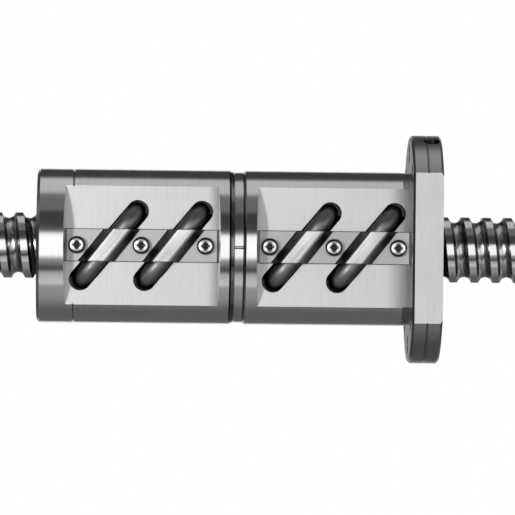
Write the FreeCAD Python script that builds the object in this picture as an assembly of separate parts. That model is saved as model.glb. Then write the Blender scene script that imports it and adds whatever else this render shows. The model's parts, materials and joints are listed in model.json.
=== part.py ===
import FreeCAD, Part
import math
import os

# Ball screw with a preloaded double nut. Millimetres, +Z up.
# X runs along the screw axis and X = 0 is the seat face of the flange, on the axis.
# The milled flats with the return tubes face -Y.

# Ball track
lead = 10.0
ball_d = 6.35
ball_circle_d = 33.0
arch_radius = 3.7
arch_offset = 0.2
loaded_turns = 2.5
circuit_pitch_leads = 3
first_circuit_x = -21.1
ball_gap = 0.15

# Screw shaft
screw_od = 31.0
thread_end_chamfer = 1.6
travel = 60.0
thread_spare = 13.0
fixed_journal_d = 25.0
fixed_journal_length = 46.0
locknut_zone_length = 18.0
locknut_relief_depth = 1.2
locknut_relief_width = 3.0
drive_end_d = 20.0
drive_end_length = 42.0
drive_key_width = 6.0
drive_key_depth = 3.5
drive_key_length = 28.0
support_journal_d = 20.0
support_journal_length = 26.0
support_ring_groove_width = 1.3
support_ring_groove_depth = 0.5
support_ring_setback = 4.0
end_chamfer = 1.0

# Nut bodies
nut_od = 72.4
nut_bore_d = 34.6
nut_outer_chamfer = 1.4
nut_joint_chamfer = 1.2
plain_joint_bevel = 2.3
plain_joint_bevel_depth = 0.95
outer_end_wall = 13.6
plain_joint_wall = 7.5
flanged_joint_wall = 7.0
witness_groove_width = 1.0
witness_groove_depth = 0.45
witness_groove_setback = 17.2

# Flange
flange_od = 107.4
flange_thickness = 14.2
flange_flat = 40.7
flange_chamfer = 1.1
rim_groove_width = 0.7
rim_groove_depth = 0.35
relief_width = 3.8
relief_depth = 0.25
bolt_edge = 8.7
bolt_hole_d = 9.0
bolt_head_d = 14.0
bolt_head_depth = 8.6
bolt_fan_deg = 40.0
grease_port_d = 8.0
grease_port_depth = 8.5
grease_port_x = 9.5
grease_port_deg = 20.0
grease_passage_d = 4.0
grease_passage_x = -3.0

# Milled pocket, slots and return tubes
pocket_flat = 23.2
pocket_wall_draft_deg = 4.5
strap_end_gap = 0.2
strap_end_margin = 5.0
flange_clearance = 0.6
slot_width = 10.5
slot_end_x = 13.3
slot_end_z = 16.0
slot_floor_r = 21.3
slot_end_floor = 15.0
tube_od = 8.4
tube_wall = 0.7
tube_fit = 0.05
tube_leg_z = 16.2
tube_crown = 25.4
tube_bend_radius = 9.0
tube_tip = 1.5
tube_screw_clearance = 0.4

# Clamp straps and their screws
strap_width = 15.4
strap_thickness = 1.2
arch_crown_width = 6.8
arch_base_width = 13.3
arch_crown_bend = 0.7
arch_base_bend = 0.7
strap_screw_d = 4.0
strap_hole_clearance = 0.15
strap_screw_grip = 4.0
pan_head_d = 8.0
pan_head_height = 3.0
pan_head_edge = 1.3
cross_recess_width = 4.2
cross_recess_slot = 1.0
cross_recess_depth = 1.7
lock_washer_d = 7.4
lock_washer_thickness = 0.9
lock_washer_split = 0.7

# Spacer between the nuts
spacer_thickness = 4.4
spacer_od = 70.8
spacer_bore_d = 46.0
spacer_split_gap = 0.3
spacer_edge_chamfer = 0.3

# Alignment key on the rear of the joint
key_width = 8.0
key_length = 38.0
key_height = 5.0
key_sink = 1.2
key_fit = 0.05
key_screw_d = 4.0
key_screw_spacing = 22.0
key_screw_head_d = 7.0
key_screw_head_height = 2.6
key_screw_recess = 3.0
key_screw_grip = 6.0
key_screw_hex = 2.5
key_screw_hex_depth = 1.6

# Seal rings and circlips in the outer ends
seal_recess_d = 42.0
seal_recess_depth = 8.5
seal_gap = 0.3
seal_screw_gap = 0.4
circlip_thickness = 1.75
circlip_fit = 0.05
circlip_groove_d = 44.5
circlip_setback = 1.5
circlip_rim = 2.6
circlip_gap_deg = 26.0
circlip_ear_radius = 2.3
circlip_ear_hole_d = 1.8

# Worked out from the sizes above
track_r = ball_circle_d / 2
screw_r = screw_od / 2
nut_r = nut_od / 2
flange_r = flange_od / 2
pocket_reach = flange_r
leg_lift = math.acos(tube_leg_z / track_r)
leg_x = lead * (loaded_turns / 2 + leg_lift / (2 * math.pi))
screw_step = lead * circuit_pitch_leads
key_top = nut_r - key_sink
bolt_circle_d = flange_od - 2 * bolt_edge
strap_screw_seat = pocket_flat + strap_thickness

circuits = [first_circuit_x - step * screw_step for step in (0, 1, 3, 4)]
track_phase = (first_circuit_x + loaded_turns / 2 * lead) % lead
flanged_circuits = circuits[:2]
plain_circuits = circuits[2:]


def strap_screw_places(centres):
    """The strap screws sit midway between circuits and half a step beyond the outer ones."""
    low = min(centres) - screw_step / 2
    return [low + i * screw_step for i in range(len(centres) + 1)]


flanged_screws = strap_screw_places(flanged_circuits)
plain_screws = strap_screw_places(plain_circuits)

flanged_pocket = (flanged_screws[0] - strap_end_margin - strap_end_gap, 0.0)
flanged_left = flanged_pocket[0] - flanged_joint_wall
plain_right = flanged_left - spacer_thickness
plain_pocket = (plain_screws[0] - strap_end_margin - strap_end_gap, plain_right - plain_joint_wall)
plain_left = plain_pocket[0] - outer_end_wall
joint_x = (flanged_left + plain_right) / 2

thread_left = plain_left - travel - thread_spare
thread_right = flange_thickness + travel + thread_spare

X = FreeCAD.Vector(1, 0, 0)
Y = FreeCAD.Vector(0, 1, 0)
Z = FreeCAD.Vector(0, 0, 1)


def vec(x, y, z):
    return FreeCAD.Vector(x, y, z)


def rod(x_low, x_high, radius):
    """A cylinder on the screw axis."""
    return Part.makeCylinder(radius, x_high - x_low, vec(x_low, 0, 0), X)


def tube(x_low, x_high, inner, outer):
    """A ring on the screw axis."""
    return rod(x_low, x_high, outer).cut(rod(x_low - 1, x_high + 1, inner))


def turned(outline):
    """A solid turned about the screw axis from (x, radius) corners."""
    corners = [vec(x, 0, r) for x, r in outline]
    face = Part.Face(Part.makePolygon(corners + corners[:1]))
    return face.revolve(vec(0, 0, 0), X, 360)


def bored(x, z, y_from, y_to, diameter):
    """A cylinder along Y at (x, z)."""
    low, high = sorted((y_from, y_to))
    return Part.makeCylinder(diameter / 2, high - low, vec(x, low, z), Y)


def box(x_range, y_range, z_range):
    """A box between the given limits."""
    size = [high - low for low, high in (x_range, y_range, z_range)]
    return Part.makeBox(*size, vec(x_range[0], y_range[0], z_range[0]))


def moved(shape, offset):
    """A copy of a shape, shifted."""
    copy = shape.copy()
    copy.translate(offset)
    return copy


def fused(shapes):
    """One clean solid from shapes that touch."""
    return shapes[0].multiFuse(shapes[1:]).removeSplitter()


def groove_tool(x_low, x_high):
    """The ball space past both given ends: one turn of the track, repeated and sewn end to end."""
    first = math.floor(x_low / lead) - 1
    turns = math.ceil(x_high / lead) + 1 - first
    turn = groove_turn()
    turn.translate(X * ((first - 0.5) * lead + track_phase))
    walls = [face for face in turn.Faces if not isinstance(face.Surface, Part.Plane)]
    ends = [face for face in turn.Faces if isinstance(face.Surface, Part.Plane)]
    ends.sort(key=lambda face: face.CenterOfMass.x)
    faces = [moved(wall, X * lead * i) for i in range(turns) for wall in walls]
    faces += [ends[0], moved(ends[1], X * lead * (turns - 1))]
    shell = Part.Shell(faces)
    shell.sewShape()
    return Part.Solid(shell)


def groove_turn():
    """One turn of the ball space: a pointed arch towards the screw and another towards the nut."""
    helix = Part.makeHelix(lead, lead, track_r)
    along = vec(0, 2 * math.pi * track_r, lead).normalize()
    side = along.cross(X).normalize()
    middle = X * track_r
    point = X * math.sqrt(arch_radius**2 - arch_offset**2)
    reach = side * (arch_radius - arch_offset)
    arch = [
        Part.Arc(middle - point, middle + reach, middle + point).toShape(),
        Part.Arc(middle + point, middle - reach, middle - point).toShape(),
    ]
    turn = helix.makePipeShell([Part.Wire(arch)], True, True)
    turn.rotate(vec(0, 0, 0), Y, 90)
    return turn


def track_point(x_centre, angle):
    """The ball centre on the track at an angle about X from +Z, for the circuit at x_centre."""
    x = x_centre + lead * (loaded_turns / 2 + angle / (2 * math.pi))
    return vec(x, -track_r * math.sin(angle), track_r * math.cos(angle))


def tube_path(x_centre):
    """The middle line of a return tube: leg, bend, crown, bend, leg."""
    lower = vec(x_centre - leg_x, 0, -tube_leg_z)
    upper = vec(x_centre + leg_x, 0, tube_leg_z)
    crown = (upper - lower).normalize()
    tip = Y * -tube_tip
    top = Y * -tube_crown
    back = Y * tube_bend_radius
    swing = tube_bend_radius * (1 - math.sqrt(0.5))
    points = []
    for corner, inward in ((lower, crown), (upper, crown * -1)):
        points.append(
            [
                corner + tip,
                corner + top + back,
                corner + top + (Y + inward) * swing,
                corner + top + inward * tube_bend_radius,
            ]
        )
    low, high = points
    return Part.Wire(
        [
            Part.LineSegment(low[0], low[1]).toShape(),
            Part.Arc(low[1], low[2], low[3]).toShape(),
            Part.LineSegment(low[3], high[3]).toShape(),
            Part.Arc(high[3], high[2], high[1]).toShape(),
            Part.LineSegment(high[1], high[0]).toShape(),
        ]
    )


def tube_solid(x_centre, radius):
    """A round bar along a return tube's middle line."""
    path = tube_path(x_centre)
    start = path.Edges[0].Vertexes[0].Point
    ring = Part.Wire(Part.makeCircle(radius, start, Y * -1))
    return path.makePipeShell([ring], True, False)


def return_tube(x_centre):
    """A bent tube whose tips are scooped to stand over the screw."""
    outer = tube_solid(x_centre, tube_od / 2)
    inner = tube_solid(x_centre, tube_od / 2 - tube_wall)
    scoop = rod(x_centre - screw_step, x_centre + screw_step, screw_r + tube_screw_clearance)
    return outer.cut(inner).cut(scoop)


def slot_tool(x_centre):
    """The oblique slot round a return tube. It deepens towards its ends, at an even depth over the ball track."""
    length = 2 * math.hypot(slot_end_x, slot_end_z)
    depth = nut_r - slot_end_floor
    half = slot_width / 2
    bar = box((-length / 2, length / 2), (-nut_r, -slot_end_floor), (-half, half))
    ends = [
        Part.makeCylinder(half, depth, vec(x, -nut_r, 0), Y) for x in (-length / 2, length / 2)
    ]
    tool = fused([bar] + ends)
    tool.rotate(vec(0, 0, 0), Y, -math.degrees(math.atan2(slot_end_z, slot_end_x)))
    return moved(tool.cut(rod(-length, length, slot_floor_r)), X * x_centre)


def pocket_tool(x_range, wall_at_right):
    """The milled pocket: a flat floor with end walls that lean outwards."""
    depth = pocket_reach - pocket_flat
    lean = depth * math.tan(math.radians(pocket_wall_draft_deg))
    low, high = x_range
    high_lean = lean if wall_at_right else 0.0
    corners = [
        vec(low, -pocket_flat, -flange_r),
        vec(high, -pocket_flat, -flange_r),
        vec(high + high_lean, -pocket_reach, -flange_r),
        vec(low - lean, -pocket_reach, -flange_r),
    ]
    face = Part.Face(Part.makePolygon(corners + corners[:1]))
    return face.extrude(Z * flange_od)


def key_seat():
    """The keyway across the joint, open to the outside of the nuts."""
    length = key_length + 2 * key_fit
    width = key_width + 2 * key_fit
    return key_blank(length, width, key_top - key_height, nut_od)


def key_blank(length, width, y_low, y_high):
    """A bar with round ends along X, centred on the joint."""
    half = (length - width) / 2
    bar = box((joint_x - half, joint_x + half), (y_low, y_high), (-width / 2, width / 2))
    ends = [bored(x, 0, y_low, y_high, width) for x in (joint_x - half, joint_x + half)]
    return fused([bar] + ends)


def key_screw_places():
    half = key_screw_spacing / 2
    return [joint_x - half, joint_x + half]


def nut_cutters(centres, screws):
    """What is taken out of a nut body for its tubes, straps and key."""
    cutters = [slot_tool(c) for c in centres]
    cutters += [tube_solid(c, tube_od / 2 + tube_fit) for c in centres]
    cutters += [bored(x, 0, -pocket_flat - 1, 0, strap_screw_d) for x in screws]
    tap_floor = key_top - key_height - key_screw_grip - 1
    cutters += [bored(x, 0, tap_floor, key_top, key_screw_d) for x in key_screw_places()]
    cutters.append(key_seat())
    return cutters


def seal_recess(face_x, inward):
    """Seat of a seal ring and groove of its circlip, from a nut's outer face."""
    groove_near = face_x + inward * circlip_setback
    groove_far = groove_near + inward * (circlip_thickness + 2 * circlip_fit)
    floor = face_x + inward * seal_recess_depth
    outside = face_x - inward
    return [
        rod(*sorted((outside, floor)), seal_recess_d / 2),
        rod(*sorted((groove_near, groove_far)), circlip_groove_d / 2),
    ]


def flanged_nut():
    """The nut with the mounting flange. Its bore and seal recess open to the right."""
    relief_r = nut_r - relief_depth
    rim_x = flange_thickness / 2
    half_rim = rim_groove_width / 2
    rim_floor = flange_r - rim_groove_depth
    body = turned(
        [
            (flanged_left, nut_bore_d / 2),
            (flanged_left, nut_r - nut_joint_chamfer),
            (flanged_left + nut_joint_chamfer, nut_r),
            (-relief_width, nut_r),
            (-relief_width, relief_r),
            (0, relief_r),
            (0, flange_r - flange_chamfer),
            (flange_chamfer, flange_r),
            (rim_x - half_rim, flange_r),
            (rim_x, rim_floor),
            (rim_x + half_rim, flange_r),
            (flange_thickness - flange_chamfer, flange_r),
            (flange_thickness, flange_r - flange_chamfer),
            (flange_thickness, nut_bore_d / 2),
        ]
    )
    flat = box((-1, flange_thickness + 1), (-flange_od, -flange_flat), (-flange_r, flange_r))
    edge = [
        vec(-1, -flange_flat - 1, -flange_r),
        vec(flange_chamfer + 1, -flange_flat - 1, -flange_r),
        vec(-1, -flange_flat + flange_chamfer + 1, -flange_r),
    ]
    bevel = Part.Face(Part.makePolygon(edge + edge[:1])).extrude(Z * flange_od)
    body = body.cut([flat, bevel]).cut(pocket_tool(flanged_pocket, False))
    cutters = seal_recess(flange_thickness, -1) + nut_cutters(flanged_circuits, flanged_screws)
    cutters += flange_bolt_holes() + grease_port()
    body = body.cut(Part.makeCompound(cutters[:2])).cut(cutters[2:])
    return body.cut(groove_tool(flanged_left, flange_thickness))


def flange_bolt_holes():
    """Three counterbored holes on each side of the flange, fanned about Z."""
    holes = []
    head_floor = flange_thickness - bolt_head_depth
    for side in (1, -1):
        for step in (-1, 0, 1):
            angle = math.radians(step * bolt_fan_deg)
            y = bolt_circle_d / 2 * math.sin(angle)
            z = side * bolt_circle_d / 2 * math.cos(angle)
            through = Part.makeCylinder(
                bolt_hole_d / 2, flange_thickness + 2, vec(-1, y, z), X
            )
            head = Part.makeCylinder(bolt_head_d / 2, bolt_head_depth + 1, vec(head_floor, y, z), X)
            holes += [through, head]
    return holes


def grease_port():
    """A tapped port in the flange rim and the slanted passage from it to the bore."""
    angle = math.radians(grease_port_deg)
    outward = vec(0, -math.sin(angle), math.cos(angle))
    port_floor = flange_r - grease_port_depth
    port = Part.makeCylinder(
        grease_port_d / 2,
        grease_port_depth + 1,
        outward * port_floor + X * grease_port_x,
        outward,
    )
    inner_end = outward * (screw_r + 1) + X * grease_passage_x
    outer_end = outward * (port_floor + 1) + X * grease_port_x
    run = outer_end - inner_end
    passage = Part.makeCylinder(grease_passage_d / 2, run.Length, inner_end, run)
    return [port, passage]


def plain_nut():
    """The nut without a flange, with a witness groove near its outer end."""
    witness_x = plain_left + witness_groove_setback
    half = witness_groove_width / 2
    witness_r = nut_r - witness_groove_depth
    body = turned(
        [
            (plain_left, nut_bore_d / 2),
            (plain_left, nut_r - nut_outer_chamfer),
            (plain_left + nut_outer_chamfer, nut_r),
            (witness_x - half, nut_r),
            (witness_x, witness_r),
            (witness_x + half, nut_r),
            (plain_right - plain_joint_bevel, nut_r),
            (plain_right, nut_r - plain_joint_bevel_depth),
            (plain_right, nut_bore_d / 2),
        ]
    )
    body = body.cut(pocket_tool(plain_pocket, True))
    recess = seal_recess(plain_left, 1)
    body = body.cut(Part.makeCompound(recess)).cut(nut_cutters(plain_circuits, plain_screws))
    return body.cut(groove_tool(plain_left, plain_right))


def spacer_half(side):
    """Half of the spacer ring, above (side 1) or below (side -1) the axis."""
    ring_r = spacer_od / 2
    ring = turned(
        [
            (plain_right, spacer_bore_d / 2),
            (plain_right, ring_r - spacer_edge_chamfer),
            (plain_right + spacer_edge_chamfer, ring_r),
            (flanged_left - spacer_edge_chamfer, ring_r),
            (flanged_left, ring_r - spacer_edge_chamfer),
            (flanged_left, spacer_bore_d / 2),
        ]
    )
    other_side = sorted((side * spacer_split_gap / 2, -side * nut_od))
    x_range = (plain_right - 1, flanged_left + 1)
    return ring.cut(box(x_range, (-nut_od, nut_od), other_side)).cut(key_seat())


def alignment_key():
    """The key that keeps both nuts and the spacer halves in line."""
    key = key_blank(key_length, key_width, key_top - key_height, key_top)
    holes = []
    for x in key_screw_places():
        holes.append(bored(x, 0, 0, key_top + 1, key_screw_d + 2 * strap_hole_clearance))
        recess_d = key_screw_head_d + 2 * strap_hole_clearance
        holes.append(bored(x, 0, key_top - key_screw_recess, key_top + 1, recess_d))
    return key.cut(holes)


def key_screw(x):
    """A low-head hexagon socket screw, pointing inwards from the rear."""
    seat = key_top - key_screw_recess
    head_top = seat + key_screw_head_height
    tip = key_top - key_height - key_screw_grip
    head = bored(x, 0, seat, head_top, key_screw_head_d)
    shank = bored(x, 0, tip, seat + 0.5, key_screw_d)
    across_corners = key_screw_hex / math.cos(math.pi / 6) / 2
    corners = [
        vec(
            x + across_corners * math.cos(i * math.pi / 3),
            head_top - key_screw_hex_depth,
            across_corners * math.sin(i * math.pi / 3),
        )
        for i in range(7)
    ]
    socket = Part.Face(Part.makePolygon(corners)).extrude(Y * (key_screw_hex_depth + 1))
    return fused([head, shank]).cut(socket)


def shifted_line(corners, distance):
    """The corners of a bent line, moved sideways by a distance to the left of its run."""
    runs = [(b - a).normalize() for a, b in zip(corners, corners[1:])]
    sides = [vec(-run.y, run.x, 0) for run in runs]
    moves = [sides[0]]
    moves += [(a + b) * (1 / (1 + a.dot(b))) for a, b in zip(sides, sides[1:])]
    moves.append(sides[-1])
    return [corner + move * distance for corner, move in zip(corners, moves)]


def rounded_line(corners, radii):
    """Edges along a bent line, each inner corner rounded to its radius."""
    edges = []
    start = corners[0]
    for before, corner, after, radius in zip(corners, corners[1:], corners[2:], radii):
        back = (before - corner).normalize()
        ahead = (after - corner).normalize()
        half = back.getAngle(ahead) / 2
        reach = radius / math.tan(half)
        middle = (back + ahead).normalize() * (radius / math.sin(half) - radius)
        edges.append(Part.LineSegment(start, corner + back * reach).toShape())
        arc = Part.Arc(corner + back * reach, corner + middle, corner + ahead * reach)
        edges.append(arc.toShape())
        start = corner + ahead * reach
    edges.append(Part.LineSegment(start, corners[-1]).toShape())
    return edges


def strap_sheet(x_centre):
    """The sheet of a strap where it bridges a tube with a flat crown, run far past both edges."""
    seat = -pocket_flat
    top = seat - strap_thickness
    crown = -tube_crown - tube_od / 2 - tube_fit - strap_thickness
    foot = arch_base_width / 2 + 1.5
    outside = [
        vec(foot, top, 0),
        vec(arch_base_width / 2, top, 0),
        vec(arch_crown_width / 2, crown, 0),
        vec(-arch_crown_width / 2, crown, 0),
        vec(-arch_base_width / 2, top, 0),
        vec(-foot, top, 0),
    ]
    inside = shifted_line(outside, -strap_thickness)
    wide_base = arch_base_bend + strap_thickness
    wide_crown = arch_crown_bend + strap_thickness
    outer = rounded_line(outside, (arch_base_bend, wide_crown, wide_crown, arch_base_bend))
    inner = rounded_line(inside, (wide_base, arch_crown_bend, arch_crown_bend, wide_base))
    ends = [Part.LineSegment(outside[i], inside[i]).toShape() for i in (0, -1)]
    outline = Part.Wire(Part.__sortEdges__(outer + inner + ends))
    length = 4 * strap_width
    angle = math.degrees(math.atan2(leg_x, tube_leg_z))
    sheet = Part.Face(outline).extrude(Z * length)
    gap = box((-foot, foot), (-nut_r, 0), (0, length))
    for shape in (sheet, gap):
        shape.translate(Z * (-length / 2))
        shape.rotate(vec(0, 0, 0), Y, angle)
        shape.translate(X * x_centre)
    return sheet, gap


def clamp_strap(centres, screws, x_range):
    """A strap along the pocket with an arch over each tube and a hole at each screw."""
    low, high = x_range
    half = strap_width / 2
    plate = box((low, high), (-strap_screw_seat, -pocket_flat), (-half, half))
    outline = box((low, high), (-nut_r, 0), (-half, half))
    arches = []
    for centre in centres:
        sheet, gap = strap_sheet(centre)
        plate = plate.cut(gap)
        arches.append(sheet.common(outline))
    strap = fused([plate] + arches)
    hole_d = strap_screw_d + 2 * strap_hole_clearance
    holes = [bored(x, 0, -nut_r, 0, hole_d) for x in screws]
    return strap.cut(holes)


def lock_washer(x):
    """A split spring washer under a strap screw."""
    far = -strap_screw_seat - lock_washer_thickness
    bore_d = strap_screw_d + 2 * strap_hole_clearance
    ring = bored(x, 0, -strap_screw_seat, far, lock_washer_d)
    ring = ring.cut(bored(x, 0, -nut_r, 0, bore_d))
    half = lock_washer_split / 2
    split = box((x, x + lock_washer_d), (-nut_r, 0), (-half, half))
    split.rotate(vec(x, 0, 0), Y, 135)
    return ring.cut(split)


def strap_screw(x):
    """A cross-recess pan-head screw with its head towards -Y."""
    seat = -strap_screw_seat - lock_washer_thickness
    crown = seat - pan_head_height
    shoulder = crown + pan_head_edge
    radius = pan_head_d / 2
    outline = [
        Part.LineSegment(vec(0, seat, 0), vec(radius, seat, 0)).toShape(),
        Part.LineSegment(vec(radius, seat, 0), vec(radius, shoulder, 0)).toShape(),
        Part.Arc(
            vec(radius, shoulder, 0),
            vec(radius - 0.32 * pan_head_edge, crown + 0.28 * pan_head_edge, 0),
            vec(radius - pan_head_edge, crown, 0),
        ).toShape(),
        Part.LineSegment(vec(radius - pan_head_edge, crown, 0), vec(0, crown, 0)).toShape(),
        Part.LineSegment(vec(0, crown, 0), vec(0, seat, 0)).toShape(),
    ]
    head = Part.Face(Part.Wire(outline)).revolve(vec(0, 0, 0), Y, 360)
    head.translate(X * x)
    tip = -pocket_flat + strap_screw_grip
    shank = bored(x, 0, seat - 0.5, tip, strap_screw_d)
    screw = fused([head, shank])
    half_long = cross_recess_width / 2
    half_short = cross_recess_slot / 2
    depths = (crown - 1, crown + cross_recess_depth)
    bars = [
        box((x - half_long, x + half_long), depths, (-half_short, half_short)),
        box((x - half_short, x + half_short), depths, (-half_long, half_long)),
    ]
    cone = Part.makeCone(
        half_long * 0.8,
        half_short * 0.6,
        cross_recess_depth,
        vec(x, crown, 0),
        Y,
    )
    cross = bars[0].fuse(bars[1])
    return screw.cut(cross.common(bored(x, 0, *depths, cross_recess_width))).cut(cone)


def seal_ring(face_x, inward):
    """A plain labyrinth ring held in a nut's recess, with a lip groove in its bore."""
    near = face_x + inward * (circlip_setback + circlip_thickness + seal_gap + circlip_fit)
    far = face_x + inward * (seal_recess_depth - seal_gap)
    low, high = sorted((near, far))
    bore_r = screw_r + seal_screw_gap
    middle = (low + high) / 2
    third = (high - low) / 6
    ring = tube(low, high, bore_r, seal_recess_d / 2 - seal_gap)
    return ring.cut(rod(middle - third, middle + third, bore_r + third))


def circlip(face_x, inward):
    """An internal circlip: a sprung ring with a gap between two drilled ears."""
    near = face_x + inward * (circlip_setback + circlip_fit)
    far = near + inward * circlip_thickness
    low, high = sorted((near, far))
    outer = circlip_groove_d / 2 - circlip_fit
    ring = tube(low, high, outer - circlip_rim, outer)
    half = math.radians(circlip_gap_deg / 2)
    reach = circlip_groove_d
    corners = [
        vec(low - 1, 0, 0),
        vec(low - 1, reach * math.sin(half), reach * math.cos(half)),
        vec(low - 1, -reach * math.sin(half), reach * math.cos(half)),
    ]
    wedge = Part.Face(Part.makePolygon(corners + corners[:1])).extrude(X * (high - low + 2))
    ring = ring.cut(wedge)
    ear_place = seal_recess_d / 2 - circlip_ear_radius - circlip_fit
    ear_angle = half + circlip_ear_radius / ear_place
    for side in (1, -1):
        y = side * ear_place * math.sin(ear_angle)
        z = ear_place * math.cos(ear_angle)
        ear = Part.makeCylinder(circlip_ear_radius, high - low, vec(low, y, z), X)
        ring = ring.fuse(ear)
    ring = ring.removeSplitter()
    for side in (1, -1):
        y = side * ear_place * math.sin(ear_angle)
        z = ear_place * math.cos(ear_angle)
        hole = Part.makeCylinder(circlip_ear_hole_d / 2, high - low + 2, vec(low - 1, y, z), X)
        ring = ring.cut(hole)
    return ring


def circuit_balls(x_centre):
    """The balls of one circuit, evenly spaced along the loaded track and back through the tube."""
    path = tube_path(x_centre)
    entry = track_r * math.sin(leg_lift) - tube_tip
    tube_length = path.Length - 2 * entry
    sweep = 2 * math.pi * loaded_turns + 2 * leg_lift
    per_radian = math.hypot(track_r, lead / (2 * math.pi))
    track_length = sweep * per_radian
    total = track_length + tube_length
    count = math.floor(total / (ball_d + ball_gap))
    pitch = total / count
    balls = []
    for i in range(count):
        place = (i + 0.5) * pitch
        if place < track_length:
            centre = track_point(x_centre, leg_lift - place / per_radian)
        else:
            centre = point_along(path, entry + place - track_length)
        balls.append(Part.makeSphere(ball_d / 2, centre))
    return balls


def point_along(path, distance):
    """The point at a distance along a wire."""
    for edge in path.Edges:
        if distance <= edge.Length:
            return edge.valueAt(edge.getParameterByLength(distance))
        distance -= edge.Length
    return path.Edges[-1].valueAt(path.Edges[-1].LastParameter)


def screw_shaft():
    """The threaded shaft. Journal, locknut zone and drive end lie on the right, a support journal on the left."""
    chamfer = thread_end_chamfer
    thread = turned(
        [
            (thread_left, 0),
            (thread_left, screw_r - chamfer),
            (thread_left + chamfer, screw_r),
            (thread_right - chamfer, screw_r),
            (thread_right, screw_r - chamfer),
            (thread_right, 0),
        ]
    ).cut(groove_tool(thread_left, thread_right))
    journal_r = fixed_journal_d / 2
    drive_r = drive_end_d / 2
    journal_end = thread_right + fixed_journal_length
    locknut_end = journal_end + locknut_zone_length
    drive_end = locknut_end + drive_end_length
    relief_r = journal_r - locknut_relief_depth
    right = turned(
        [
            (thread_right, 0),
            (thread_right, journal_r),
            (journal_end, journal_r),
            (journal_end, relief_r),
            (journal_end + locknut_relief_width, relief_r),
            (journal_end + locknut_relief_width, journal_r),
            (locknut_end - end_chamfer, journal_r),
            (locknut_end, journal_r - end_chamfer),
            (locknut_end, drive_r),
            (drive_end - end_chamfer, drive_r),
            (drive_end, drive_r - end_chamfer),
            (drive_end, 0),
        ]
    )
    key_high = drive_end - (drive_end_length - drive_key_length) / 2
    key_low = key_high - drive_key_length
    half = drive_key_width / 2
    key_floor = drive_r - drive_key_depth
    keyway = fused(
        [
            box((key_low + half, key_high - half), (-half, half), (key_floor, drive_end_d)),
            Part.makeCylinder(half, drive_end_d, vec(key_low + half, 0, key_floor), Z),
            Part.makeCylinder(half, drive_end_d, vec(key_high - half, 0, key_floor), Z),
        ]
    )
    support_r = support_journal_d / 2
    support_end = thread_left - support_journal_length
    groove_low = support_end + support_ring_setback
    groove_high = groove_low + support_ring_groove_width
    groove_r = support_r - support_ring_groove_depth
    left = turned(
        [
            (thread_left, 0),
            (thread_left, support_r),
            (groove_high, support_r),
            (groove_high, groove_r),
            (groove_low, groove_r),
            (groove_low, support_r),
            (support_end + end_chamfer, support_r),
            (support_end, support_r - end_chamfer),
            (support_end, 0),
        ]
    )
    return thread.multiFuse([right.cut(keyway), left])


def write(name, shape):
    """One file for each sub-part."""
    shape.exportStep(os.path.join("parts", name + ".step"))


def main():
    os.makedirs("parts", exist_ok=True)
    write("screw_shaft", screw_shaft())
    write("flanged_nut", flanged_nut())
    write("plain_nut", plain_nut())
    write("spacer_half_upper", spacer_half(1))
    write("spacer_half_lower", spacer_half(-1))
    write("alignment_key", alignment_key())
    for number, x in enumerate(key_screw_places(), 1):
        write(f"key_screw_{number}", key_screw(x))

    for number, centre in enumerate(sorted(circuits), 1):
        write(f"return_tube_{number}", return_tube(centre))
    balls = [ball for centre in circuits for ball in circuit_balls(centre)]
    write("bearing_balls", Part.makeCompound(balls))

    plain_strap = (plain_pocket[0] + strap_end_gap, plain_pocket[1] - strap_end_gap)
    flanged_strap = (flanged_pocket[0] + strap_end_gap, -flange_clearance)
    write("clamp_strap_left", clamp_strap(plain_circuits, plain_screws, plain_strap))
    write("clamp_strap_right", clamp_strap(flanged_circuits, flanged_screws, flanged_strap))
    for number, x in enumerate(plain_screws + flanged_screws, 1):
        write(f"strap_screw_{number}", strap_screw(x))
        write(f"lock_washer_{number}", lock_washer(x))

    for side, face_x, inward in (("left", plain_left, 1), ("right", flange_thickness, -1)):
        write(f"seal_ring_{side}", seal_ring(face_x, inward))
        write(f"circlip_{side}", circlip(face_x, inward))


main()
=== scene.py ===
import json
import math

import bpy
from mathutils import Matrix, Vector


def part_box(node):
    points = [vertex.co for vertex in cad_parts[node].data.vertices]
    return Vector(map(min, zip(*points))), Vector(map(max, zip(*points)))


# A ball screw with a double nut. Every visible piece is a CAD node, which gets its finish here.
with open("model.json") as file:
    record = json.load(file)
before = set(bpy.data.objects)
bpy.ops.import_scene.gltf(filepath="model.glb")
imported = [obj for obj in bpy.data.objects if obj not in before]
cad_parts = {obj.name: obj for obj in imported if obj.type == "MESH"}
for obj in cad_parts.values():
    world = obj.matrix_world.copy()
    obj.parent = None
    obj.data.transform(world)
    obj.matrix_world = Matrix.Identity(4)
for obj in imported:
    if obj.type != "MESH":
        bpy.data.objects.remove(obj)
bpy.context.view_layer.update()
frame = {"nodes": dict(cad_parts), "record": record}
nodes = frame["nodes"]

X, Y, Z = range(3)
white = (1.0, 1.0, 1.0, 1.0)


def span(name, axis):
    """A node's lowest and highest place along an axis, in millimetres."""
    return [corner[axis] * 1000.0 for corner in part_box(name)]


def mount_ends(name):
    """Where a round mount on the screw starts and ends along X, in millimetres."""
    mount = next(row for row in frame["record"]["mounts"] if row["name"] == name)
    middle = mount["pos_m"][X] * 1000.0
    reach = mount["dims"]["length_mm"] / 2
    return middle - reach, middle + reach


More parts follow.
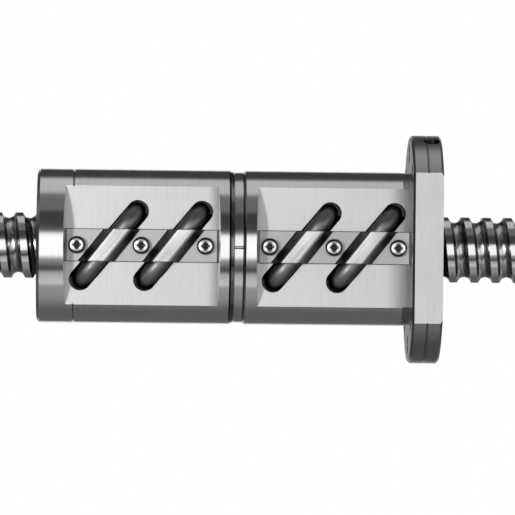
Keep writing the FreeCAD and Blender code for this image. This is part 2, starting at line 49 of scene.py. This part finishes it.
# Sizes that the finishes follow, in millimetres. X runs along the screw, with 0 at the flange's seat, and the
# milled flats face -Y.
plain_nut_ends = span("plain_nut", X)
flanged_nut_ends = span("flanged_nut", X)
nut_radius = span("plain_nut", Z)[1]
crest_radius = span("screw_shaft", Z)[1]
flange_thickness = flanged_nut_ends[1]
flange_flat_y = span("flanged_nut", Y)[0]
strap_ends = span("clamp_strap_left", X) + span("clamp_strap_right", X)
strap_crown_y, nut_flat_y = span("clamp_strap_left", Y)
strap_half_width = span("clamp_strap_left", Z)[1]
strap_screw_x = sum(span("strap_screw_1", X)) / 2
strap_screw_step = sum(span("strap_screw_2", X)) / 2 - strap_screw_x
strap_screw_crown_y = span("strap_screw_1", Y)[0]

# How far the return tubes lean from Z: the middle line of a tube ends half its width inside the tube's box.
tube_width = 8.4
tube_low_x, tube_high_x = span("return_tube_1", X)
tube_low_z, tube_high_z = span("return_tube_1", Z)
tube_slant = math.atan2(tube_high_x - tube_low_x - tube_width, tube_high_z - tube_low_z - tube_width)

# The ball groove runs from the support journal to the fixed journal.
ball_groove_low = mount_ends("support_journal")[1]
ball_groove_high = mount_ends("fixed_journal")[0]
locknut_thread_low, locknut_thread_high = mount_ends("locknut_zone")
locknut_thread_radius = 12.5
locknut_thread_pitch = 1.5

# The studio as polished metal sees it. Its strip lights run parallel to the screw. A lift is an angle in
# degrees about the screw, from the photograph's side. Each light has a lower and an upper lift, a soft edge
# and a power.
light_strips = [
    (-164.0, -50.0, 16.0, 0.1),
    (-96.0, -50.0, 40.0, 0.24),
    (-62.0, -40.0, 3.0, 0.47),
    (-30.0, -15.0, 9.0, 0.24),
    (-18.0, 18.0, 6.0, 1.45),
    (52.5, 84.5, 5.0, 0.14),
    (84.5, 121.5, 7.0, 0.62),
]
back_strip_lift = (162.0, 173.0, 5.0)
back_strip = 0.8
back_lift = (172.0, 6.0)
back_light = 0.24
dark_gap = 0.05

# Directions along the screw show less of the strips, and soft light of their own. A band tells how far a
# direction leans, from 0, straight across the screw, to 1, along it: its bounds and then its soft edge.
across_band = (0.3, 0.1)
oblique_band = (0.56, 0.755, 0.08)
oblique_shade = 0.35
oblique_light = 0.02
side_band = (0.79, 0.93, 0.06)
side_light = 0.3
rear_side_band = (0.6, 0.93, 0.08)
rear_side_lift = (104.0, 20.0)
rear_side_light = 0.45
rear_band = (0.42, 0.6, 0.1)
rear_lift = (145.0, 16.0)
rear_light = 0.35
end_band = (0.955, 0.04)
end_shade = 0.85
end_light = 0.35


class Socket:
    """A value in a node tree: Python's operators on it add Math nodes."""

    def __init__(self, tree, link):
        self.tree = tree
        self.link = link

    def math(self, operation, *others):
        return self.tree.math(operation, self, *others)

    def __add__(self, other):
        return self.math("ADD", other)

    __radd__ = __add__

    def __mul__(self, other):
        return self.math("MULTIPLY", other)

    __rmul__ = __mul__

    def __sub__(self, other):
        return self.math("SUBTRACT", other)

    def __rsub__(self, other):
        return self.tree.math("SUBTRACT", other, self)

    def __truediv__(self, other):
        return self.math("DIVIDE", other)

    def __neg__(self):
        return self * -1.0

    def __abs__(self):
        return self.math("ABSOLUTE")

    def above(self, edge, soft):
        """1 where the value is over the edge and 0 under it, with a smooth step of the given width."""
        settings = {"interpolation_type": "SMOOTHSTEP"}
        inputs = {0: self, 1: edge - soft / 2, 2: edge + soft / 2, 3: 0.0, 4: 1.0}
        return self.tree.node("ShaderNodeMapRange", settings, inputs)

    def below(self, edge, soft):
        return 1.0 - self.above(edge, soft)

    def between(self, low, high, soft):
        return self.above(low, soft) * self.below(high, soft)

    def near(self, place, reach, soft):
        """1 within the reach of a place, on both sides of it."""
        return self.between(place - reach, place + reach, soft)

    def spread(self, low, high):
        """Turns 0 to 1 into low to high."""
        return self * (high - low) + low


class Tree:
    """A node tree, in which every node comes from node()."""

    def __init__(self, owner):
        owner.use_nodes = True
        self.nodes = owner.node_tree.nodes
        self.links = owner.node_tree.links
        self.nodes.clear()

    def node(self, kind, settings=None, inputs=None, output=0):
        """Adds a node with its settings and its inputs' values or links, and gives one of its outputs."""
        made = self.nodes.new(kind)
        for name, value in (settings or {}).items():
            setattr(made, name, value)
        for key, value in (inputs or {}).items():
            if isinstance(value, Socket):
                self.links.new(value.link, made.inputs[key])
            else:
                made.inputs[key].default_value = value
        return Socket(self, made.outputs[output]) if len(made.outputs) else None

    def math(self, operation, *values):
        return self.node("ShaderNodeMath", {"operation": operation}, dict(enumerate(values)))

    def split(self, vector):
        return [self.node("ShaderNodeSeparateXYZ", inputs={0: vector}, output=axis) for axis in (X, Y, Z)]

    def vector(self, x, y, z):
        return self.node("ShaderNodeCombineXYZ", inputs={X: x, Y: y, Z: z})

    def mix(self, factor, first, second):
        """A colour from first, at a factor of 0, to second, at 1."""
        inputs = {0: factor, 6: first, 7: second}
        return self.node("ShaderNodeMix", {"data_type": "RGBA"}, inputs, output=2)

    def ray(self, kind):
        """1 for rays of one kind, such as Is Camera Ray, and 0 for all others."""
        return self.node("ShaderNodeLightPath", output=kind)


class Finish(Tree):
    """A metal or plastic finish, laid out in millimetres on the object's own coordinates."""

    def __init__(self, name):
        self.material = bpy.data.materials.new(name)
        super().__init__(self.material)
        place = self.node("ShaderNodeTexCoord", output="Object")
        self.x, self.y, self.z = [part * 1000.0 for part in self.split(place)]
        facing = self.split(self.node("ShaderNodeTexCoord", output="Normal"))
        self.slope_x = facing[X]
        self.nx = abs(facing[X])
        self.ny = abs(facing[Y])
        self.r = (self.y * self.y + self.z * self.z).math("SQRT")
        self.faces_end = self.nx.above(0.8, 0.1)

    def noise_at(self, place, detail=3.0, rough=0.55):
        """Noise at a place that is counted in grains."""
        inputs = {"Vector": place, "Scale": 1.0, "Detail": detail, "Roughness": rough}
        return self.node("ShaderNodeTexNoise", {"noise_dimensions": "3D"}, inputs)

    def noise(self, per_mm, detail=3.0):
        """Noise with a number of grains per millimetre, or three numbers where it is drawn out one way."""
        shares = per_mm if isinstance(per_mm, tuple) else (per_mm, per_mm, per_mm)
        place = self.vector(self.x * shares[X], self.y * shares[Y], self.z * shares[Z])
        return self.noise_at(place, detail)

    def rings(self, per_mm, detail=2.0):
        """Turning marks: rings round the axis on round walls, circles on end faces."""
        along = self.x + (self.r - self.x) * self.faces_end
        place = self.vector(along * per_mm, self.y * 0.05, self.z * 0.05)
        return self.noise_at(place, detail, rough=0.6)

    def across_tube(self):
        """The distance from the middle line of the nearest return tube, in the plane of the flats."""
        step = (self.x - strap_screw_x).math("FLOORED_MODULO", strap_screw_step) - strap_screw_step / 2
        return step * math.cos(tube_slant) - self.z * math.sin(tube_slant)

    def bump(self, height, depth_mm, under=None):
        """Bumps of the given depth, on top of the bumps under them."""
        inputs = {"Height": height, "Distance": depth_mm / 1000.0}
        if under:
            inputs["Normal"] = under
        return self.node("ShaderNodeBump", inputs=inputs)

    def surface(self, tone, rough, normal, metallic=1.0):
        """Closes the finish on one shader, with a neutral grey from 0 to 1 as its colour."""
        colour = self.node("ShaderNodeCombineColor", inputs={0: tone, 1: tone, 2: tone})
        inputs = {"Base Color": colour, "Roughness": rough, "Metallic": metallic, "Normal": normal}
        shader = self.node("ShaderNodeBsdfPrincipled", inputs=inputs)
        self.node("ShaderNodeOutputMaterial", inputs={"Surface": shader})
        return self.material


class NutFinish(Finish):
    """Ground and turned steel with milled faces and painted shade in slots, bores and on bevels; for a nut
    from low to high in X.
    """

    def __init__(self, name, low, high):
        super().__init__(name)
        bevel_depth = 2.2
        marks = self.rings(7.0)
        coarse = self.rings(1.1, 1.0)
        cloud = self.noise(0.045)
        self.grain = self.noise(5.0, 2.0)
        self.turned = marks * 0.5 + coarse * 0.4
        self.on_flat = self.front_face(nut_flat_y)
        # The slots and bores, where painted shade darkens the tone and the finish is rougher.
        self.inside = self.y.above(nut_flat_y + 0.2, 0.1) * self.r.below(nut_radius - 0.6, 0.4)
        self.inside = self.inside * self.x.between(low + 0.4, high - 0.4, 0.2)
        # Painted shade on the bevels and chamfers near the outer round.
        self.bevel = self.nx.between(0.25, 0.55, 0.1) * 0.68 + self.nx.between(0.55, 0.93, 0.1) * 0.85
        self.bevel = self.bevel * self.r.above(nut_radius - bevel_depth, 0.2) * (1.0 - self.on_flat)
        self.tone = cloud.spread(0.61, 0.68) + (marks - 0.5) * 0.05 + (coarse - 0.5) * 0.07
        self.rough = cloud.spread(0.14, 0.18) + (self.grain - 0.5) * 0.04

    def front_face(self, place):
        """The milled face that lies at a place along Y and faces the front."""
        return self.y.near(place, 0.15, 0.1) * self.ny.above(0.9, 0.1)

    def milled(self, faces, shade):
        """Closes the finish: a milled grain and a darker tone with painted shade on its front faces, and
        painted shade in slots, bores and bevels.
        """
        mill = self.noise((0.5, 1.0, 9.0), 2.0)
        tone = self.tone - faces * (shade + (mill - 0.5) * 0.08)
        tone = tone * (1.0 - self.inside * 0.92) * (1.0 - self.bevel)
        rough = self.rough + self.inside * 0.25 + faces * 0.33
        machined = self.bump(self.turned + (mill - self.turned) * faces, 0.012)
        return self.surface(tone, rough, self.bump(self.grain, 0.004, machined))


def plain_nut_steel():
    """The plain nut, with painted shade on its bevels, darkest near its ends, and on the chamfer at the
    joint.
    """
    low, high = plain_nut_ends
    end_zone = 3.0
    # Painted shade darkens the flat towards its right end.
    fade_x = high - 8.8
    fade_width = 9.0
    f = NutFinish("plain_nut_steel", low, high)
    middle = f.x.between(low + end_zone, high - end_zone, 0.2)
    # Painted shade on the chamfer at the joint, on top of the bevels' painted shade.
    joint_chamfer = f.x.between(high - 2.35, high - 1.4, 0.2) * f.nx.above(0.25, 0.1)
    f.bevel = f.bevel * (1.0 - middle * 0.6) + joint_chamfer * 0.3
    return f.milled(f.on_flat, 0.225 + f.x.above(fade_x, fade_width) * 0.32)


def flanged_nut_steel():
    """The flanged nut, with a duller rim, a groove round it and a rough relief beside the flange."""
    relief_length = 3.8
    rim_groove_x = flange_thickness / 2
    # Painted shade darkens the flat towards the flange.
    fade_x = -5.8
    fade_width = 13.6
    f = NutFinish("flanged_nut_steel", *flanged_nut_ends)
    flange_front = f.front_face(flange_flat_y)
    relief = f.r.between(nut_radius - 1.0, nut_radius - 0.1, 0.1) * (1.0 - f.on_flat)
    relief = relief * f.x.between(-relief_length, -0.05, 0.1)
    on_rim = f.x.above(0.02, 0.04) * f.r.above(nut_radius + 1.0, 0.5) * f.nx.below(0.9, 0.1)
    on_rim = on_rim * (1.0 - flange_front)
    rim_groove = f.x.near(rim_groove_x, 0.75, 0.3)
    f.bevel = f.bevel * (1.0 - f.x.near(rim_groove_x, 2.0, 0.2))
    f.tone = f.tone - relief * 0.4 - on_rim * (0.3 + rim_groove * 0.07)
    f.rough = f.rough + relief * 0.15 + on_rim * 0.12
    fade = f.x.above(fade_x, fade_width) * (1.0 - flange_front)
    return f.milled(f.on_flat + flange_front, 0.2 + fade * 0.33)


def screw_steel():
    """Hardened screw: ground crests, polished ball groove, turned journals and a fine locknut thread."""
    crest_margin = 0.12
    full_turn = 2.0 * math.pi
    f = Finish("ground_screw_steel")
    marks = f.rings(9.0)
    cloud = f.noise((0.05, 0.1, 0.1))
    grain = f.noise(6.0, 2.0)
    groove = f.r.below(crest_radius - crest_margin, 0.1)
    groove = groove * f.x.between(ball_groove_low + 1.0, ball_groove_high - 0.5, 0.5)
    # Painted shade on the thread flanks that face left, and on the steepest ones that face right.
    painted_flank_shade = groove * (f.slope_x.below(-0.3, 0.3) + f.slope_x.above(0.72, 0.2))
    tone = cloud.spread(0.58, 0.66) - groove * 0.14 + (marks - 0.5) * 0.05
    tone = tone * (1.0 - painted_flank_shade * 0.72)
    rough = cloud.spread(0.13, 0.19) + groove * 0.03 + (grain - 0.5) * 0.04
    turn = f.z.math("ARCTAN2", f.y) / full_turn
    thread = ((f.x / locknut_thread_pitch + turn) * full_turn).math("SINE")
    on_thread = f.r.above(locknut_thread_radius - 0.3, 0.1)
    on_thread = on_thread * f.x.between(locknut_thread_low + 0.2, locknut_thread_high + 0.1, 0.3)
    turned = f.bump(marks, 0.01)
    ground = f.bump(grain, 0.003, turned)
    return f.surface(tone, rough, f.bump(thread * on_thread, 0.35, ground))


def plain_steel(name, tones, roughs, grains, depth):
    """Steel with soft clouds in its tone and a fine, even grain: grains per millimetre and their depth."""
    f = Finish(name)
    cloud = f.noise(0.12)
    grain = f.noise(grains)
    tone = cloud.spread(*tones) + (grain - 0.5) * 0.06
    rough = cloud.spread(*roughs) + (grain - 0.5) * 0.08
    return f.surface(tone, rough, f.bump(grain, depth))


def spacer_steel():
    """Turned ring with painted shade in a strip along the lower side of its split, and darker painted shade
    in a strip under that.
    """
    painted_shade_strip = (-0.7, 0.1)
    darker_painted_shade_strip = (-1.4, -0.7)
    f = Finish("spacer_steel")
    marks = f.rings(7.0)
    cloud = f.noise(0.12)
    # Painted shade under the split between the two halves.
    shade = f.z.between(*painted_shade_strip, 0.15) * 0.45 + f.z.between(*darker_painted_shade_strip, 0.15) * 0.88
    tone = (cloud.spread(0.58, 0.64) + (marks - 0.5) * 0.05) * (1.0 - shade)
    return f.surface(tone, cloud.spread(0.15, 0.2), f.bump(marks, 0.008))


def sheet_steel():
    """Pressed sheet with a drawn grain along the strap, painted shade along its edges and on the bends of its
    arches, and a streaked painted highlight on their crowns.
    """
    edge_width = 0.35
    f = Finish("pressed_sheet_steel")
    cloud = f.noise(0.12)
    grain = f.noise((0.5, 6.0, 6.0))
    # Painted shade along the strap's edges and ends.
    edge = abs(f.z).above(strap_half_width - edge_width, 0.2)
    for end in strap_ends:
        edge = edge.math("MAXIMUM", abs(f.x - end).below(edge_width, 0.2))
    # Painted highlight on the crowns of the arches, streaked by a noise.
    crown = f.y.below(strap_crown_y + 0.6, 0.4) * f.ny.above(0.9, 0.1)
    # Painted shade on the bends of the arches, nearly lifted on the lit side of each arch.
    bend = f.ny.below(0.85, 0.2)
    across = f.across_tube()
    painted_streaks = f.noise_at(f.vector(across * 0.42, f.z * 0.06, f.x * 0.02), rough=0.5)
    lit_side = across.between(0.0, 4.8, 2.2)
    tone = cloud.spread(0.27, 0.32) + (grain - 0.5) * 0.06 + crown * (0.12 + (painted_streaks - 0.5) * 0.5)
    tone = tone * (1.0 - edge * 0.8) * (1.0 - bend * (0.65 - lit_side * 0.6))
    rough = cloud.spread(0.4, 0.46) + (grain - 0.5) * 0.08 - bend * 0.12
    return f.surface(tone, rough, f.bump(grain, 0.006))


def tube_steel():
    """Drawn tube, in a tone darkened by painted shade, with more painted shade along its sides and where its
    ends turn down into the slots.
    """
    f = Finish("drawn_tube_steel")
    cloud = f.noise(0.15)
    grain = f.noise(4.0)
    # Painted shade where the ends turn down into the slots and along the sides; the low base tone holds
    # painted shade too.
    painted_deep_shade = f.y.above(nut_flat_y + 0.2, 5.0)
    side = abs(f.across_tube()).above(2.6, 2.6)
    tone = (cloud.spread(0.16, 0.21) + (grain - 0.5) * 0.05) * (1.0 - painted_deep_shade * 0.7) * (1.0 - side * 0.6)
    rough = cloud.spread(0.42, 0.5) + (grain - 0.5) * 0.08
    return f.surface(tone, rough, f.bump(grain, 0.005))


def head_steel():
    """Strap screws: a flat crown with painted highlights on two sides, and painted shade on the rounded edge
    and in the cross recess.
    """
    crown_radius = 3.0
    recess_radius = 2.4
    f = Finish("plated_screw_steel")
    cloud = f.noise(0.3)
    grain = f.noise(4.0, 2.0)
    along = (f.x - strap_screw_x).math("FLOORED_MODULO", strap_screw_step)
    from_screw = along.math("MINIMUM", strap_screw_step - along)
    out = (from_screw * from_screw + f.z * f.z).math("SQRT")
    # Painted shade on the rounded edge and in the cross recess, and painted highlights on two sides of the
    # crown, which is darker elsewhere.
    edge = out.above(crown_radius, 0.5)
    lit_sides = from_screw.above(1.1, 0.8) * abs(f.z).below(2.1, 1.0)
    recess = f.y.above(strap_screw_crown_y + 0.35, 0.3) * out.below(recess_radius, 0.2)
    tone = (cloud.spread(0.4, 0.5) + (grain - 0.5) * 0.05) * (0.5 + lit_sides * 0.7)
    tone = tone * (1.0 - edge * 0.8) * (1.0 - recess * 0.9)
    rough = cloud.spread(0.28, 0.38) + edge * 0.08
    return f.surface(tone, rough, f.bump(grain, 0.008))


def black_oxide():
    """Blackened steel with a half metallic sheen."""
    f = Finish("black_oxide")
    cloud = f.noise(0.2)
    grain = f.noise(7.0, 2.0)
    tone = cloud.spread(0.045, 0.09) + (grain - 0.5) * 0.02
    return f.surface(tone, cloud.spread(0.36, 0.5), f.bump(grain, 0.006), metallic=0.7)


def moulded_plastic():
    """Dark plastic with a fine moulded grain."""
    f = Finish("seal_plastic")
    grain = f.noise(3.0, 4.0)
    cloud = f.noise(0.2, 2.0)
    tone = cloud.spread(0.03, 0.05) + (grain - 0.5) * 0.01
    return f.surface(tone, grain.spread(0.42, 0.62), f.bump(grain, 0.01), metallic=0.0)


def numbered(name, count):
    return [f"{name}_{number}" for number in range(1, count + 1)]


def dress(material, *names):
    """Puts a finish on CAD nodes."""
    for name in names:
        for slot in nodes[name].material_slots:
            slot.material = material


dress(flanged_nut_steel(), "flanged_nut")
dress(plain_nut_steel(), "plain_nut")
dress(screw_steel(), "screw_shaft")
dress(spacer_steel(), "spacer_half_upper", "spacer_half_lower")
dress(tube_steel(), *numbered("return_tube", 4))
dress(sheet_steel(), "clamp_strap_left", "clamp_strap_right")
dress(head_steel(), *numbered("strap_screw", 6))
spring_steel = plain_steel("spring_steel", tones=(0.1, 0.16), roughs=(0.32, 0.44), grains=5.0, depth=0.006)
dress(spring_steel, *numbered("lock_washer", 6), "circlip_left", "circlip_right")
ball_steel = plain_steel(
    "polished_ball_steel", tones=(0.74, 0.8), roughs=(0.06, 0.1), grains=2.0, depth=0.001
)
dress(ball_steel, "bearing_balls")
dress(black_oxide(), "alignment_key", "key_screw_1", "key_screw_2")
dress(moulded_plastic(), "seal_ring_left", "seal_ring_right")


def studio_world():
    """White to the camera, while polished metal sees the strip lights with dark gaps between them."""
    world = bpy.data.worlds.new("studio")
    bpy.context.scene.world = world
    tree = Tree(world)
    x, y, z = tree.split(tree.node("ShaderNodeTexCoord", output="Generated"))
    along = abs(x)
    lift = z.math("ARCTAN2", -y) * math.degrees(1.0)
    turned = abs(lift)
    lights = [lift.between(low, high, soft) * power for low, high, soft, power in light_strips]
    strips = sum(lights, dark_gap)
    strips = strips + turned.above(*back_lift) * back_light
    strips = strips + turned.between(*back_strip_lift) * along.below(*across_band) * back_strip
    oblique = along.between(*oblique_band)
    ends = along.above(*end_band)
    sides = along.between(*side_band) * side_light
    sides = sides + along.between(*rear_side_band) * turned.above(*rear_side_lift) * rear_side_light
    sides = sides + along.between(*rear_band) * turned.above(*rear_lift) * rear_light
    studio = strips * (1.0 - oblique * oblique_shade - ends * end_shade)
    studio = studio + oblique * oblique_light + ends * end_light + sides
    seen = tree.ray("Is Camera Ray").math("MAXIMUM", tree.ray("Is Transmission Ray"))
    colour = tree.mix(seen, tree.mix(tree.ray("Is Glossy Ray"), white, studio), white)
    shader = tree.node("ShaderNodeBackground", inputs={"Color": colour, "Strength": 1.0})
    tree.node("ShaderNodeOutputWorld", inputs={"Surface": shader})


def pale_floor(height, size, near_radius, fade):
    """A pale floor well under the object, which fades into the white background, in metres."""
    bpy.ops.mesh.primitive_plane_add(size=size, location=(0.0, 0.0, height))
    floor = bpy.context.object
    floor.name = "floor"
    material = bpy.data.materials.new("pale_floor")
    floor.data.materials.append(material)
    tree = Tree(material)
    x, y, _ = tree.split(tree.node("ShaderNodeTexCoord", output="Object"))
    far = (x * x + y * y).math("SQRT").above(near_radius, fade)
    seen = tree.ray("Is Camera Ray").math("MAXIMUM", tree.ray("Is Glossy Ray"))
    seen = seen.math("MAXIMUM", tree.ray("Is Transmission Ray"))
    diffuse = tree.node("ShaderNodeBsdfDiffuse", inputs={"Color": (0.8, 0.8, 0.8, 1.0)})
    glow = tree.node("ShaderNodeEmission", inputs={"Color": white, "Strength": 1.0})
    shader = tree.node("ShaderNodeMixShader", inputs={0: far * seen, 1: diffuse, 2: glow})
    tree.node("ShaderNodeOutputMaterial", inputs={"Surface": shader})
    floor.visible_glossy = False


def softbox(name, place, aim, width, height, power):
    """A rectangular lamp at a place, turned to a point, both in metres."""
    data = bpy.data.lights.new(name, "AREA")
    data.shape = "RECTANGLE"
    data.size = width
    data.size_y = height
    data.energy = power
    lamp = bpy.data.objects.new(name, data)
    bpy.context.scene.collection.objects.link(lamp)
    lamp.location = place
    lamp.rotation_euler = (Vector(aim) - Vector(place)).to_track_quat("-Z", "Y").to_euler()
    lamp.visible_camera = False


def camera(place, aim, tilt, view_width):
    """A camera that is aimed at a point and tilted, and sees the given width there, in metres."""
    sensor_width = 36.0
    forward = (aim - place).normalized()
    right = forward.cross(Vector((0.0, 0.0, 1.0))).normalized()
    up = right.cross(forward)
    side = right * math.cos(tilt) + up * math.sin(tilt)
    top = up * math.cos(tilt) - right * math.sin(tilt)
    data = bpy.data.cameras.new("camera")
    data.sensor_width = sensor_width
    data.lens = sensor_width * (aim - place).length / view_width
    shot = bpy.data.objects.new("camera", data)
    bpy.context.scene.collection.objects.link(shot)
    shot.matrix_world = Matrix.Translation(place) @ Matrix((side, top, -forward)).transposed().to_4x4()
    bpy.context.scene.camera = shot


studio_world()
pale_floor(height=-0.16, size=12.0, near_radius=0.75, fade=0.5)
softbox("key_light", place=(-0.915, -1.813, 0.06), aim=(-0.07, 0.0, 0.0), width=0.2, height=0.3, power=18.0)

# The photograph's view: far off, a little below the axis and left of the middle, and slightly tilted.
camera(
    place=Vector((-0.127, -2.415, -0.0421)),
    aim=Vector((-0.07115, 0.0, -0.0046)),
    tilt=math.radians(0.63),
    view_width=0.2428,
)
bpy.context.scene.view_settings.view_transform = "Standard"
